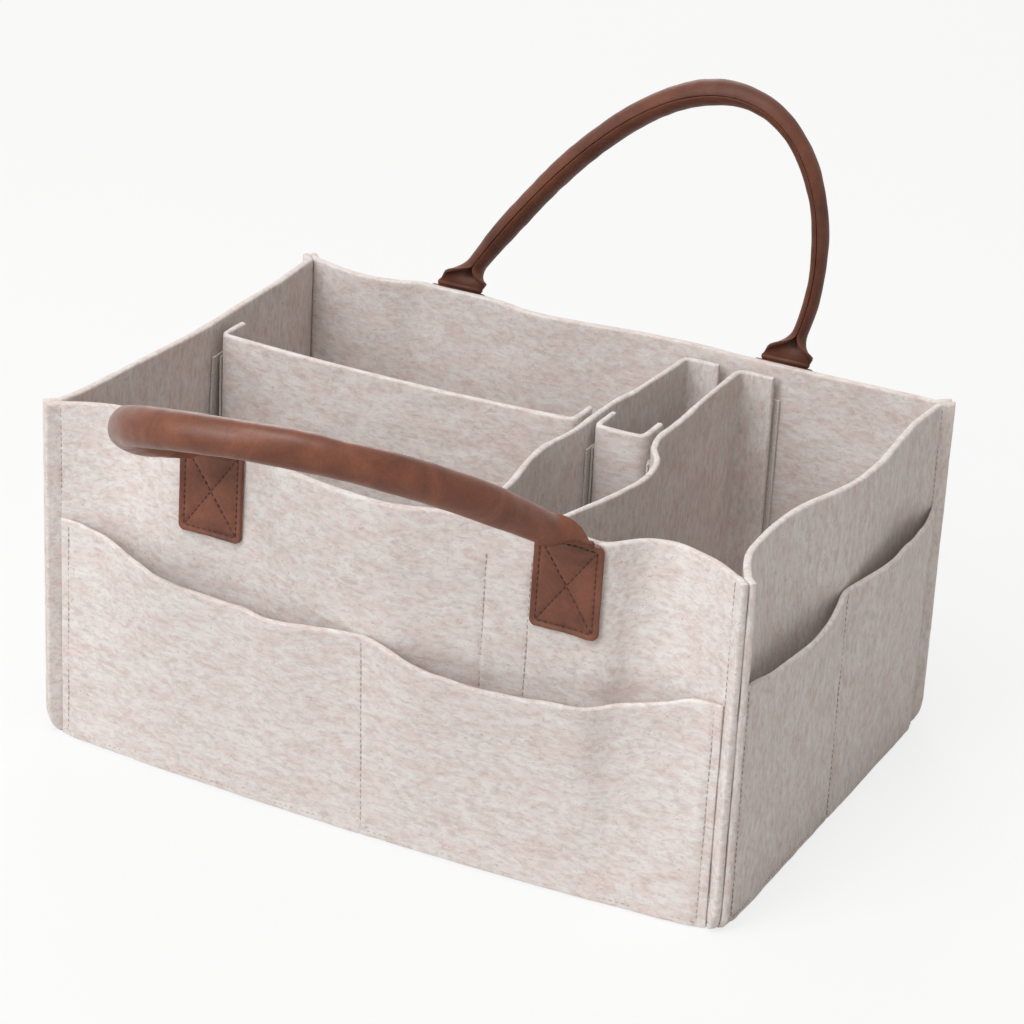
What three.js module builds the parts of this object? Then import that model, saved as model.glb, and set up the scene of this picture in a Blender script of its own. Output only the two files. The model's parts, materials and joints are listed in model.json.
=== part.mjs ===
// Felt nursery caddy: a sewn open box of thick wool felt with outer pockets, lift-out dividers
// held by hook-and-loop tape, and two folded leather handles that swing about their patches.
// Millimetres, +Z up, the front faces -Y, the origin is under the middle of the base.

import * as THREE from 'three';

// Box
const length = 380;
const width = 255;
const height = 185;
const wallFelt = 4;
const fit = 0.3;

// Corner seams: both wall ends turn out side by side at 45 degrees and end rounded at the foot
const seamFlange = 7.5;
const seamFlangeFoot = 0.3;
const seamRound = 14;
const seamRoundShare = 0.2;
const seamTurn = Math.PI / 4;

// Floor
const baseFelt = 4;
const floorLining = 3;
const footHeight = 8;

// How far the soft walls lean at the top and the front swells at its foot
const frontLean = 18;
const backLean = 8;
const rightLean = 12;
const leftLean = 7;
const frontSwell = 8;

// Outer pockets
const pocketFelt = 3;
const sewnFelt = 1.2;
const pocketRim = 14;
const pocketFlarePower = 1.4;
const frontPocketHeight = 122;
const backPocketHeight = 118;
const sidePocketHeight = 135;
const frontMouth = 15;
const backMouth = 9;
const rightMouth = 10;
const leftMouth = 9;

// Dividers and their tapes
const dividerFelt = 3.5;
const dividerDrop = 5;
const dividerTab = 20;
const longDividerY = 9;
const leftDividerX = 42;
const leftDividerBow = 5;
const rightDividerX = 80;
const rightDividerBow = 16;
const tapeFelt = 1.2;
const loopTapeWidth = 25;
const hookTapeWidth = 17;
const tapeTopDrop = 14;
const tapeFootRise = 12;

// Handles
const handleSpread = 195;
const rootX = handleSpread / 2;
const frontGripShift = 3.5;
const gripLeather = 1.8;
const rootWidth = 27;
const gripDepth = 16;
const gripBreadth = 20;
const gripSeamGap = 0.8;
const gripCurlStart = 3;
const gripCurlEnd = 19;
const gripUprightLength = 30;
const hingeThickness = 2.4;
const hingeHem = 0.8;
const rearGripReach = [-144.5, 95, -69.5, 258];
const frontGripReach = [-129, 188, 67.5, 174];
const frontGripTwist = THREE.MathUtils.degToRad(4);
const frontGripLean = THREE.MathUtils.degToRad(60);
const cordInset = 0.5;
const cordSetback = 3;

// Leather patches sewn to the walls under the handle roots
const patchWidth = 36;
const patchHeight = 48;
const patchThickness = 2.8;
const patchDrop = 0.7;
const patchCorner = 3;

// Numbers of facets
const longWallCells = 28;
const shortWallCells = 18;
const wallRises = 6;
const dividerCells = 16;
const gripAround = 14;
const gripAlong = 36;

// Colours of the materials
const feltLook = new THREE.MeshStandardMaterial({ color: 0xd6cfc9, roughness: 0.95, metalness: 0 });
const leatherLook = new THREE.MeshStandardMaterial({ color: 0x7d4b3a, roughness: 0.5, metalness: 0 });
const tapeLook = new THREE.MeshStandardMaterial({ color: 0xcfc8c1, roughness: 0.9, metalness: 0 });
const cordLook = new THREE.MeshStandardMaterial({ color: 0xb9ad9c, roughness: 0.9, metalness: 0 });

// A smooth curve through [place, value] pairs that never overshoots them
function follow(table, place) {
  const last = table.length - 1;
  const at = THREE.MathUtils.clamp(place, table[0][0], table[last][0]);
  let k = 0;
  while (k < last - 1 && at > table[k + 1][0]) {
    k += 1;
  }
  const slope = (i) => (table[i + 1][1] - table[i][1]) / (table[i + 1][0] - table[i][0]);
  const tangent = (i) => {
    if (i === 0 || i === last) {
      return 0;
    }
    const before = slope(i - 1);
    const after = slope(i);
    return before * after > 0 ? (2 * before * after) / (before + after) : 0;
  };
  const span = table[k + 1][0] - table[k][0];
  const t = (at - table[k][0]) / span;
  const square = t * t;
  const cube = square * t;
  const start = table[k][1] * (2 * cube - 3 * square + 1) + tangent(k) * span * (cube - 2 * square + t);
  const end = table[k + 1][1] * (3 * square - 2 * cube) + tangent(k + 1) * span * (cube - square);
  return start + end;
}

// The four sides. Each is worked out facing the front, where s runs to the right along the wall
// and depth runs outward from the inner face, and is then turned into its place.
// The share tables go from the left seam, -1, to the right seam, 1.
const sides = {
  front: {
    turn: 0,
    half: length / 2 - wallFelt,
    face: width / 2 - wallFelt,
    cells: longWallCells,
    lean: frontLean,
    swell: frontSwell,
    leanShares: [
      [-1, 0], [-0.93, -0.4], [-0.84, -0.65], [-0.75, -0.45], [-0.645, 0], [-0.4, 0], [-0.26, 0.55],
      [0.04, 1], [0.2, 0.55], [0.3, 0.25], [0.42, 0], [0.65, 0], [0.72, -0.8], [0.78, -1],
      [0.85, -0.85], [0.92, -0.55], [1, 0],
    ],
    pocketHeight: frontPocketHeight,
    pocketHeightShares: [
      [-1, 1], [-0.85, 0.98], [-0.55, 0.92], [-0.3, 0.91], [0, 0.92], [0.15, 0.89], [0.35, 0.85],
      [0.55, 0.87], [0.75, 0.9], [1, 0.98],
    ],
    mouth: frontMouth,
    mouthShares: [
      [-1, 0], [-0.78, 0.7], [-0.5, 0.95], [-0.25, 0.8], [0, 0],
      [0.2, 0.8], [0.45, 1], [0.75, 0.8], [1, 0],
    ],
  },
  back: {
    turn: Math.PI,
    half: length / 2 - wallFelt,
    face: width / 2 - wallFelt,
    cells: longWallCells,
    lean: backLean,
    swell: 0,
    leanShares: [
      [-1, 0], [-0.645, 0], [-0.4, 0], [-0.28, 0.25], [-0.12, 0.1], [0, -0.2], [0.12, -0.6],
      [0.22, -0.8], [0.32, -0.5], [0.4, 0], [0.645, 0], [0.72, -0.7], [0.8, -1], [0.9, -0.75], [1, 0],
    ],
    pocketHeight: backPocketHeight,
    pocketHeightShares: [[-1, 1], [-0.5, 0.94], [0, 0.98], [0.5, 0.94], [1, 1]],
    mouth: backMouth,
    mouthShares: [
      [-1, 0], [-0.75, 0.8], [-0.5, 1], [-0.25, 0.8], [0, 0],
      [0.25, 0.8], [0.5, 1], [0.75, 0.8], [1, 0],
    ],
  },
  right: {
    turn: Math.PI / 2,
    half: width / 2 - wallFelt,
    face: length / 2 - wallFelt,
    cells: shortWallCells,
    lean: rightLean,
    swell: 0,
    leanShares: [
      [-1, 0], [-0.9, -0.5], [-0.75, -0.9], [-0.56, -1], [-0.4, -0.95], [-0.27, -0.75], [-0.08, -0.2],
      [0.1, 0.15], [0.3, 0.2], [0.55, 0], [0.78, -0.12], [1, 0],
    ],
    pocketHeight: sidePocketHeight,
    pocketHeightShares: [[-1, 0.94], [-0.7, 0.91], [-0.35, 0.9], [-0.03, 0.955], [0.4, 0.985], [1, 0.945]],
    mouth: rightMouth,
    mouthShares: [
      [-1, 0], [-0.75, 0.8], [-0.4, 1], [-0.18, 0.7], [0, 0],
      [0.25, 0.7], [0.55, 0.85], [0.8, 0.6], [1, 0],
    ],
  },
  left: {
    turn: -Math.PI / 2,
    half: width / 2 - wallFelt,
    face: length / 2 - wallFelt,
    cells: shortWallCells,
    lean: leftLean,
    swell: 0,
    leanShares: [
      [-1, 0], [-0.88, -0.2], [-0.7, -0.5], [-0.33, -0.75], [0, -1], [0.12, -1], [0.35, -0.8], [0.65, -0.6],
      [0.9, -0.35], [1, 0],
    ],
    pocketHeight: sidePocketHeight,
    pocketHeightShares: [[-1, 1], [-0.5, 0.95], [0, 0.98], [0.5, 0.95], [1, 1]],
    mouth: leftMouth,
    mouthShares: [
      [-1, 0], [-0.75, 0.8], [-0.45, 1], [-0.2, 0.75], [0, 0],
      [0.2, 0.75], [0.45, 1], [0.75, 0.8], [1, 0],
    ],
  },
};

// The seam line of a wall: its inner face ends a hair short of the corner, its outer face at the groove
for (const side of Object.values(sides)) {
  side.corner = side.half - (fit * Math.SQRT1_2);
  side.groove = side.corner - wallFelt * Math.tan(seamTurn / 2);
}

// How far the wall has moved outward at a place and height, straight from station to station
function wallShift(side, s, z) {
  const rise = Math.max(0, z - footHeight) / (height - footHeight);
  const at = (k) => {
    const share = 2 * (k / side.cells) - 1;
    const swell = side.swell * (1 - share * share);
    return THREE.MathUtils.lerp(swell, side.lean * follow(side.leanShares, share), rise);
  };
  const place = THREE.MathUtils.clamp((s / side.groove + 1) / 2, 0, 1) * side.cells;
  const k = Math.min(side.cells - 1, Math.floor(place));
  return THREE.MathUtils.lerp(at(k), at(k + 1), place - k);
}

// A point of a side, depth outward from its inner face, before the side is turned into place
function onWall(side, s, z, depth) {
  return [s, -(side.face + wallShift(side, s, z) + depth), z];
}

// A closed sheet of felt or leather between two grids of points: i runs across, j runs up
function sheet(across, up, inner, outer) {
  const positions = [];
  const index = [];
  const row = across + 1;
  const layer = row * (up + 1);
  for (const surface of [outer, inner]) {
    for (let j = 0; j <= up; j += 1) {
      for (let i = 0; i <= across; i += 1) {
        positions.push(...surface(i, j));
      }
    }
  }
  const quad = (a, b, c, d) => index.push(a, b, c, a, c, d);
  for (let j = 0; j < up; j += 1) {
    for (let i = 0; i < across; i += 1) {
      const k = j * row + i;
      quad(k, k + 1, k + row + 1, k + row);
      quad(layer + k, layer + k + row, layer + k + row + 1, layer + k + 1);
    }
    const left = j * row;
    const right = left + across;
    quad(left, left + row, layer + left + row, layer + left);
    quad(right, layer + right, layer + right + row, right + row);
  }
  for (let i = 0; i < across; i += 1) {
    const high = up * row + i;
    quad(layer + i, layer + i + 1, i + 1, i);
    quad(high, high + 1, layer + high + 1, layer + high);
  }
  return solid(positions, index);
}

function solid(positions, index) {
  const geometry = new THREE.BufferGeometry();
  geometry.setAttribute('position', new THREE.Float32BufferAttribute(positions, 3));
  geometry.setIndex(index);
  geometry.computeVertexNormals();
  return geometry;
}

// The heights at which a wall has a row of points
function wallLevels() {
  const levels = [0, seamRound * seamRoundShare, footHeight, seamRound];
  for (let k = 1; k <= wallRises; k += 1) {
    levels.push(seamRound + (k / wallRises) * (height - seamRound));
  }
  return levels;
}

// The places along a side that its wall and its pocket share
function stations(side) {
  return Array.from({ length: side.cells + 1 }, (_, k) => side.groove * (2 * (k / side.cells) - 1));
}

// A wall: flat between its seams, with a flange at each end that narrows in a round at the foot
function wall(side) {
  const levels = wallLevels();
  const places = stations(side);
  const last = places.length - 1;
  const flange = (z) => {
    const up = Math.min(1, (seamRound - z) / seamRound);
    return z < seamRound ? seamFlange * Math.sqrt(Math.max(0, 1 - up * up)) : seamFlange;
  };
  const point = (i, z, depth) => {
    const k = THREE.MathUtils.clamp(i - 1, 0, last);
    const end = k === 0 ? -1 : 1;
    if (i > 1 && i <= last) {
      return onWall(side, places[k], z, depth);
    }
    const root = side.corner - depth * Math.tan(seamTurn / 2);
    if (i === 1 || i === last + 1) {
      return onWall(side, end * root, z, depth);
    }
    const reach = side.corner - side.groove + seamFlangeFoot + flange(z);
    const tip = side.corner + (reach - depth) * Math.SQRT1_2;
    return [end * tip, -(side.face + (reach + depth) * Math.SQRT1_2), z];
  };
  return sheet(
    last + 2,
    levels.length - 1,
    (i, j) => point(i, levels[j], 0),
    (i, j) => point(i, levels[j], wallFelt),
  );
}

// An outer pocket: one panel sewn along the foot, both corner seams and the middle, open above
function pocketTop(side, s) {
  return side.pocketHeight * follow(side.pocketHeightShares, s / side.groove);
}

function pocketGap(side, s, z) {
  const share = Math.max(0, z - footHeight) / (pocketTop(side, s) - footHeight);
  return side.mouth * follow(side.mouthShares, s / side.groove) * share ** pocketFlarePower;
}

function pocket(side) {
  const places = stations(side);
  const last = places.length - 1;
  places[0] += fit;
  places[last] -= fit;
  const lowest = Math.min(...places.map((s) => pocketTop(side, s)));
  const levels = wallLevels().filter((level) => level < lowest - pocketRim);
  const z = (i, j) => (j < levels.length ? levels[j] : pocketTop(side, places[i]));
  const thickness = (i) => (i === 0 || i === last ? sewnFelt : pocketFelt);
  const depth = (i, j) => wallFelt + fit + pocketGap(side, places[i], z(i, j));
  return sheet(
    last,
    levels.length,
    (i, j) => onWall(side, places[i], z(i, j), depth(i, j)),
    (i, j) => onWall(side, places[i], z(i, j), depth(i, j) + thickness(i)),
  );
}

// The floor: an outline that follows the foot of the four walls
function floor(thickness) {
  const { front, right } = sides;
  const halfLength = right.face - fit;
  const halfWidth = front.face - fit;
  const places = stations(front).slice(1, -1);
  const outline = new THREE.Shape();
  outline.moveTo(-halfLength, -halfWidth);
  for (const s of places) {
    outline.lineTo(s, -(halfWidth + wallShift(front, s, 0)));
  }
  outline.lineTo(halfLength, -halfWidth);
  outline.lineTo(halfLength, halfWidth);
  outline.lineTo(-halfLength, halfWidth);
  return new THREE.ExtrudeGeometry(outline, { depth: thickness, bevelEnabled: false });
}

// An upright strip of felt along a plan path, with mitred folds
function strip(path, thickness, bottom, top) {
  const across = path.length - 1;
  const ways = path.slice(1).map(([x, y], k) => {
    const run = new THREE.Vector2(x - path[k][0], y - path[k][1]).normalize();
    return new THREE.Vector2(run.y, -run.x);
  });
  const point = (i, j, offset) => {
    const before = ways[Math.max(0, i - 1)];
    const after = ways[Math.min(across - 1, i)];
    const mitre = before.clone().add(after).normalize();
    const reach = offset / mitre.dot(after);
    return [path[i][0] + mitre.x * reach, path[i][1] + mitre.y * reach, j === 0 ? bottom : top];
  };
  const half = thickness / 2;
  return sheet(across, 1, (i, j) => point(i, j, -half), (i, j) => point(i, j, half));
}

// Where a side's inner face comes closest to the middle, over the width of a divider's tab
function narrowest(side, from, to) {
  let least = Infinity;
  for (let k = 0; k <= side.cells; k += 1) {
    const s = THREE.MathUtils.lerp(from, to, k / side.cells);
    least = Math.min(least, wallShift(side, s, 0), wallShift(side, s, height));
  }
  return side.face + least;
}

// From the face that a divider is held on to the middle of the felt of its tab
const tabOffset = 3 * fit + 2 * tapeFelt + dividerFelt / 2;
const dividerBottom = footHeight - fit;
const dividerTop = height - dividerDrop;
const tapeBottom = dividerBottom + tapeFootRise;
const tapeTop = dividerTop - tapeTopDrop;

// How the cross dividers curve in plan, from the front wall, -1, to the back wall, 1
const leftDividerShares = [
  [-1, 0.8], [-0.7, 0.4], [-0.28, -1], [0, -0.3], [0.3, -0.3], [0.55, 0.4], [1, 0.8],
];
const rightDividerShares = [
  [-1, 0], [-0.78, 0.31], [-0.6, 0.66], [-0.32, 1], [-0.09, 0.69],
  [0.06, 0], [0.3, 0], [0.6, -0.1], [1, -0.15],
];

// The cross divider's ends: the front tab turns left, the back tab turns right
function crossDivider(middle, bow, shares) {
  const x = (share) => middle + bow * follow(shares, share);
  const frontX = x(-1);
  const backX = x(1);
  const frontY = -narrowest(sides.front, frontX - loopTapeWidth, frontX + loopTapeWidth) + tabOffset;
  const backY = narrowest(sides.back, -backX - loopTapeWidth, -backX + loopTapeWidth) - tabOffset;
  const path = [[frontX - dividerTab, frontY]];
  for (let k = 0; k <= dividerCells; k += 1) {
    const share = 2 * (k / dividerCells) - 1;
    path.push([x(share), k === 0 ? frontY : THREE.MathUtils.lerp(frontY, backY, k / dividerCells)]);
  }
  path.push([backX + dividerTab, backY]);
  const tabShare = longDividerY / sides.back.face;
  return { path, frontX, backX, frontY, backY, holdX: x(tabShare) };
}

const leftCross = crossDivider(leftDividerX, leftDividerBow, leftDividerShares);
const rightCross = crossDivider(rightDividerX, rightDividerBow, rightDividerShares);

// The long divider and the short one stand in line, with their tabs turned to the back
function spanDivider(fromX, toX) {
  const backY = longDividerY + dividerTab;
  const path = [[fromX, backY], [fromX, longDividerY], [toX, longDividerY], [toX, backY]];
  return { path, fromX, toX };
}

const holdOffset = dividerFelt / 2 + tabOffset;
const leftFace = narrowest(sides.left, -longDividerY - loopTapeWidth, -longDividerY + loopTapeWidth);
const leftTabX = tabOffset - leftFace;
const longSpan = spanDivider(leftTabX, leftCross.holdX - holdOffset);
const shortSpan = spanDivider(leftCross.holdX + holdOffset, rightCross.holdX - holdOffset);

// The values between two ends, with the ends
function within(values, low, high) {
  return [low, ...values.filter((value) => value > low && value < high), high];
}

// A flat length of tape, thin along one axis
function flatTape(x, y, thinX, tapeWidth) {
  const sizeX = thinX ? tapeFelt : tapeWidth;
  const sizeY = thinX ? tapeWidth : tapeFelt;
  const geometry = new THREE.BoxGeometry(sizeX, sizeY, tapeTop - tapeBottom);
  geometry.translate(x, y, (tapeTop + tapeBottom) / 2);
  return geometry;
}

// The loop tape sewn inside a wall follows the wall
function wallTape(side, middle) {
  const levels = within(wallLevels(), tapeBottom, tapeTop);
  const across = within(stations(side), middle - loopTapeWidth / 2, middle + loopTapeWidth / 2);
  return sheet(
    across.length - 1,
    levels.length - 1,
    (i, j) => onWall(side, across[i], levels[j], -fit - tapeFelt),
    (i, j) => onWall(side, across[i], levels[j], -fit),
  );
}

// Handles. A grip is worked out upright about its hinge line, facing the front: its middle follows
// a cubic curve between the roots, and its leather is a flat strap at each root that curls
// round into a closed oval sleeve, with its seam on the side that faces the basket.
const gripRadius = Math.sqrt(gripDepth * gripBreadth) / 2;

// How thick each sleeve is along its length, as shares of the full oval
const frontGripShares = [
  [0, 0.85], [0.15, 1.15], [0.3, 0.96], [0.6, 0.91], [0.8, 0.94], [1, 0.82],
];
const rearGripShares = [
  [0, 0.56], [0.12, 0.5], [0.24, 0.57], [0.36, 0.66], [0.5, 0.84], [0.75, 0.79], [1, 0.7],
];

function gripCurve(reach) {
  const [leftX, leftUp, rightX, rightUp] = reach;
  return new THREE.CubicBezierCurve3(
    new THREE.Vector3(-rootX, 0, 0),
    new THREE.Vector3(leftX, 0, leftUp),
    new THREE.Vector3(rightX, 0, rightUp),
    new THREE.Vector3(rootX, 0, 0),
  );
}

// A section of a grip: its middle, the way across it, and how far along the leather it lies
function gripFrame(curve, share, { twist, shares }) {
  const run = curve.getLength();
  const centre = curve.getPointAt(share);
  const fromRoot = Math.min(share, 1 - share) * run;
  const upright = new THREE.Vector3(0, 0, share < 1 / 2 ? 1 : -1);
  const turned = THREE.MathUtils.smoothstep(fromRoot, 0, gripUprightLength);
  const along = upright.lerp(curve.getTangentAt(share), turned).normalize();
  const side = new THREE.Vector3(along.z, 0, -along.x);
  centre.y = centre.z * Math.sin(twist) * (centre.x / rootX);
  return { centre, side, fromRoot, size: follow(shares, share) };
}

// A point on the strap, lift out from the middle of the leather, q from edge -1 to edge 1
function strapPoint(frame, q, lift) {
  const curl = THREE.MathUtils.smoothstep(frame.fromRoot, gripCurlStart, gripCurlEnd);
  const radius = gripRadius * frame.size - gripLeather / 2;
  const halfStrap = Math.PI * radius - gripSeamGap / 2;
  const half = THREE.MathUtils.lerp(rootWidth / 2, halfStrap, curl);
  const turn = (curl * q * halfStrap) / radius;
  const chord = Math.abs(turn) > 0 ? Math.sin(turn) / turn : 1;
  const depth = Math.abs(turn) > 0 ? (1 - Math.cos(turn)) / turn : 0;
  const wide = THREE.MathUtils.lerp(1, gripDepth / 2 / gripRadius, curl);
  const deep = THREE.MathUtils.lerp(1, gripBreadth / 2 / gripRadius, curl);
  const raise = lift * frame.thickness;
  const out = wide * (half * q * chord + raise * Math.sin(turn));
  const bulge = Math.sin((curl * Math.PI) / 2) * radius;
  const back = deep * (half * q * depth - raise * Math.cos(turn) - bulge);
  return [
    frame.centre.x + frame.side.x * out,
    frame.centre.y + back,
    frame.centre.z + frame.side.z * out,
  ];
}

// The sections along a grip, closer together at its ends
const gripSections = Array.from({ length: gripAlong + 1 }, (_, j) => {
  const even = j / gripAlong;
  const eased = (1 - Math.cos(Math.PI * even)) / 2;
  return (even + eased) / 2;
});

// The sleeve ends in a rounded hem just below the hinge line, where the strap bends
function gripSleeve(grip) {
  const curve = gripCurve(grip.reach);
  const frames = gripSections.map((share) => gripFrame(curve, share, grip));
  for (const frame of frames) {
    const thinned = Math.min(1, frame.fromRoot / gripCurlEnd);
    frame.thickness = THREE.MathUtils.lerp(hingeThickness, gripLeather, thinned);
  }
  const hem = (frame) => {
    const low = { ...frame, centre: frame.centre.clone() };
    low.centre.z -= hingeHem;
    low.thickness = Math.sqrt(hingeThickness ** 2 - (2 * hingeHem) ** 2);
    return low;
  };
  frames.unshift(hem(frames[0]));
  frames.push(hem(frames[frames.length - 1]));
  const point = (i, j, lift) => strapPoint(frames[j], (2 * i) / gripAround - 1, lift);
  return sheet(
    gripAround,
    frames.length - 1,
    (i, j) => point(i, j, -1 / 2),
    (i, j) => point(i, j, 1 / 2),
  );
}

// The cord inside the sleeve, from just inside one opening to just inside the other
function gripCord(grip) {
  const curve = gripCurve(grip.reach);
  const frames = gripSections
    .map((share) => gripFrame(curve, share, grip))
    .filter(({ fromRoot }) => fromRoot > gripCurlEnd + cordSetback);
  const inset = gripLeather + cordInset;
  const positions = [];
  const index = [];
  const last = frames.length - 1;
  frames.forEach(({ centre, side, size }, j) => {
    const wide = (size * gripDepth) / 2 - inset;
    const deep = (size * gripBreadth) / 2 - inset;
    for (let i = 0; i < gripAround; i += 1) {
      const turn = (2 * Math.PI * i) / gripAround;
      const out = wide * Math.sin(turn);
      positions.push(centre.x + side.x * out, centre.y - deep * Math.cos(turn), centre.z + side.z * out);
      const a = j * gripAround + i;
      const b = j * gripAround + ((i + 1) % gripAround);
      if (j < last) {
        index.push(a, b, b + gripAround, a, b + gripAround, a + gripAround);
      }
    }
  });
  const end = last * gripAround;
  const middle = positions.length / 3;
  for (const { centre } of [frames[0], frames[last]]) {
    positions.push(centre.x, centre.y, centre.z);
  }
  for (let i = 0; i < gripAround; i += 1) {
    const next = (i + 1) % gripAround;
    index.push(next, i, middle);
    index.push(end + i, end + next, middle + 1);
  }
  return solid(positions, index);
}

// A patch lies on its wall and follows it; its corners are cut round
function patch(side, middle) {
  const left = middle - patchWidth / 2;
  const right = middle + patchWidth / 2;
  const top = height - patchDrop;
  const bottom = top - patchHeight;
  const lines = (values, low, high) => {
    const cut = [...values, low + patchCorner, high - patchCorner];
    return within(cut.sort((a, b) => a - b), low, high);
  };
  const across = lines(stations(side), left, right);
  const up = lines(wallLevels(), bottom, top);
  const corner = patchCorner * (1 - Math.SQRT1_2);
  const point = (i, j, depth) => {
    const s = across[i];
    const z = up[j];
    const inset = (s === left || s === right) && (z === bottom || z === top) ? corner : 0;
    return onWall(side, s + Math.sign(middle - s) * inset, z + (z === top ? -inset : inset), depth);
  };
  return sheet(
    across.length - 1,
    up.length - 1,
    (i, j) => point(i, j, wallFelt + fit),
    (i, j) => point(i, j, wallFelt + fit + patchThickness),
  );
}

// Putting the pieces together
const caddy = new THREE.Group();

function add(parent, name, geometry, material) {
  const mesh = new THREE.Mesh(geometry, material);
  mesh.name = name;
  parent.add(mesh);
  return mesh;
}

function turned(side) {
  const group = new THREE.Group();
  group.rotation.z = side.turn;
  caddy.add(group);
  return group;
}

add(caddy, 'base_panel', floor(baseFelt), feltLook);
add(caddy, 'floor_lining', floor(floorLining), feltLook).position.z = baseFelt + fit;

const panels = {};
for (const [name, side] of Object.entries(sides)) {
  panels[name] = turned(side);
  add(panels[name], `${name}_wall`, wall(side), feltLook);
  add(panels[name], `${name}_pocket`, pocket(side), feltLook);
}

// Handles and patches stand on the long sides
const hingeDepth = wallFelt + fit + patchThickness + fit + hingeThickness / 2;
const grips = {
  front: {
    reach: frontGripReach,
    shares: frontGripShares,
    shift: frontGripShift,
    twist: frontGripTwist,
    lean: frontGripLean,
  },
  back: { reach: rearGripReach, shares: rearGripShares, shift: 0, twist: 0, lean: 0 },
};
for (const [name, grip] of Object.entries(grips)) {
  const side = sides[name];
  const group = new THREE.Group();
  group.position.set(grip.shift, -(side.face + hingeDepth), height);
  group.rotation.x = grip.lean;
  panels[name].add(group);
  add(group, `${name}_grip`, gripSleeve(grip), leatherLook);
  add(group, `${name}_grip_cord`, gripCord(grip), cordLook);
  add(panels[name], `${name}_patch_1`, patch(side, grip.shift - rootX), leatherLook);
  add(panels[name], `${name}_patch_2`, patch(side, grip.shift + rootX), leatherLook);
}

// Dividers with the tapes that hold them
const dividers = {
  long_divider: longSpan,
  short_divider: shortSpan,
  left_cross_divider: leftCross,
  right_cross_divider: rightCross,
};
for (const [name, divider] of Object.entries(dividers)) {
  add(caddy, name, strip(divider.path, dividerFelt, dividerBottom, dividerTop), feltLook);
}

const inTab = dividerTab / 2;
const hookOffset = dividerFelt / 2 + fit + tapeFelt / 2;
for (const name of ['long_divider', 'short_divider']) {
  const { fromX, toX } = dividers[name];
  const y = longDividerY + inTab;
  add(caddy, `${name}_hook_tape_1`, flatTape(fromX - hookOffset, y, true, hookTapeWidth), tapeLook);
  add(caddy, `${name}_hook_tape_2`, flatTape(toX + hookOffset, y, true, hookTapeWidth), tapeLook);
}
for (const name of ['left_cross_divider', 'right_cross_divider']) {
  const { frontX, backX, frontY, backY } = dividers[name];
  const frontTab = frontX - inTab;
  const backTab = backX + inTab;
  add(caddy, `${name}_hook_tape_1`, flatTape(frontTab, frontY - hookOffset, false, hookTapeWidth), tapeLook);
  add(caddy, `${name}_hook_tape_2`, flatTape(backTab, backY + hookOffset, false, hookTapeWidth), tapeLook);
  add(panels.front, `${name}_loop_tape_1`, wallTape(sides.front, frontTab), tapeLook);
  add(panels.back, `${name}_loop_tape_2`, wallTape(sides.back, -backTab), tapeLook);
}
const loopY = longDividerY + inTab;
const facingTapes = {
  long_divider_loop_tape_2: leftCross.holdX - hookOffset,
  short_divider_loop_tape_1: leftCross.holdX + hookOffset,
  short_divider_loop_tape_2: rightCross.holdX - hookOffset,
};
add(panels.left, 'long_divider_loop_tape_1', wallTape(sides.left, -loopY), tapeLook);
for (const [name, x] of Object.entries(facingTapes)) {
  add(caddy, name, flatTape(x, loopY, true, loopTapeWidth), tapeLook);
}

export default caddy;
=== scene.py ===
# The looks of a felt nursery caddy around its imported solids: heathered felt panels with cut edges,
# sewn seams with real stitches, hook-and-loop tapes, and leather handles rolled round their cords.
# Lengths are in millimetres and become metres when a mesh is made. +Z is up, the front faces -Y.

import json
import math

import bpy
import numpy as np
from mathutils import Matrix, Vector


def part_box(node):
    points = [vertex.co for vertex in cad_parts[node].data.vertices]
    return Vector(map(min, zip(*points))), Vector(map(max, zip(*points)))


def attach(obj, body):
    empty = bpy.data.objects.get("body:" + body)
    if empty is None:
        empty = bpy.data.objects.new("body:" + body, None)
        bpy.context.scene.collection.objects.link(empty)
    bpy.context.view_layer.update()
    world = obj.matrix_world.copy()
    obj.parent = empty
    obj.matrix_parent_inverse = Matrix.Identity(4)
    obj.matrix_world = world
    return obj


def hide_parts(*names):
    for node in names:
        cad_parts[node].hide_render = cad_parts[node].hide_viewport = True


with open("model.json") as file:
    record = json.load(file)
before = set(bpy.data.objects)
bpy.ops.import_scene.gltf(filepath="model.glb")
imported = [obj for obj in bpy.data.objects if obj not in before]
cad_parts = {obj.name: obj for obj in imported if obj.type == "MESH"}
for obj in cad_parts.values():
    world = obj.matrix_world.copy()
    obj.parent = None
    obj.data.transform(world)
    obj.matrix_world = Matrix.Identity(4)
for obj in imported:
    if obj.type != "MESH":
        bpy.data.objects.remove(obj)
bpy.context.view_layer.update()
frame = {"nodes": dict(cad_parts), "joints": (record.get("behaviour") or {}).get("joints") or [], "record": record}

MM = 0.001
TOUCH = 0.02
SAME_PLACE = 0.2
NO_LENGTH = 1e-9
NO_TURN = 1e-6

# Felt
WALL_FELT = 4
POCKET_FELT = 3
SEWN_FELT = 1.2
DIVIDER_FELT = 3.5
FIT = 0.3
FOOT_HEIGHT = 8
POCKET_FLARE_POWER = 1.4
FELT_EDGE = 1.5
FELT_CELL = 2.6
FLOOR_CELL = 6
FELT_WAVES = ((26, 0.16), (7, 0.07))
INNER_FACE_SHARE = 0.6
POCKET_TOP_WAVE = (18, 0.25)

# Corner seams
SEAM_FLANGE = 7.5
SEAM_FLANGE_FOOT = 0.3
SEAM_ROUND = 14
SEAM_TURN = math.pi / 4
SEAM_BEND = 2.6
BEND_STEPS = 5
FLANGE_STEPS = 4

# Rounded edges of every sheet
EDGE_SHARES = (0, 0.06, 0.18, 0.38, 0.65, 1)
EDGE_POWER = 2.6

# Dividers
FOLD_RADIUS = 4
FOLD_STEPS = 6

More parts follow.
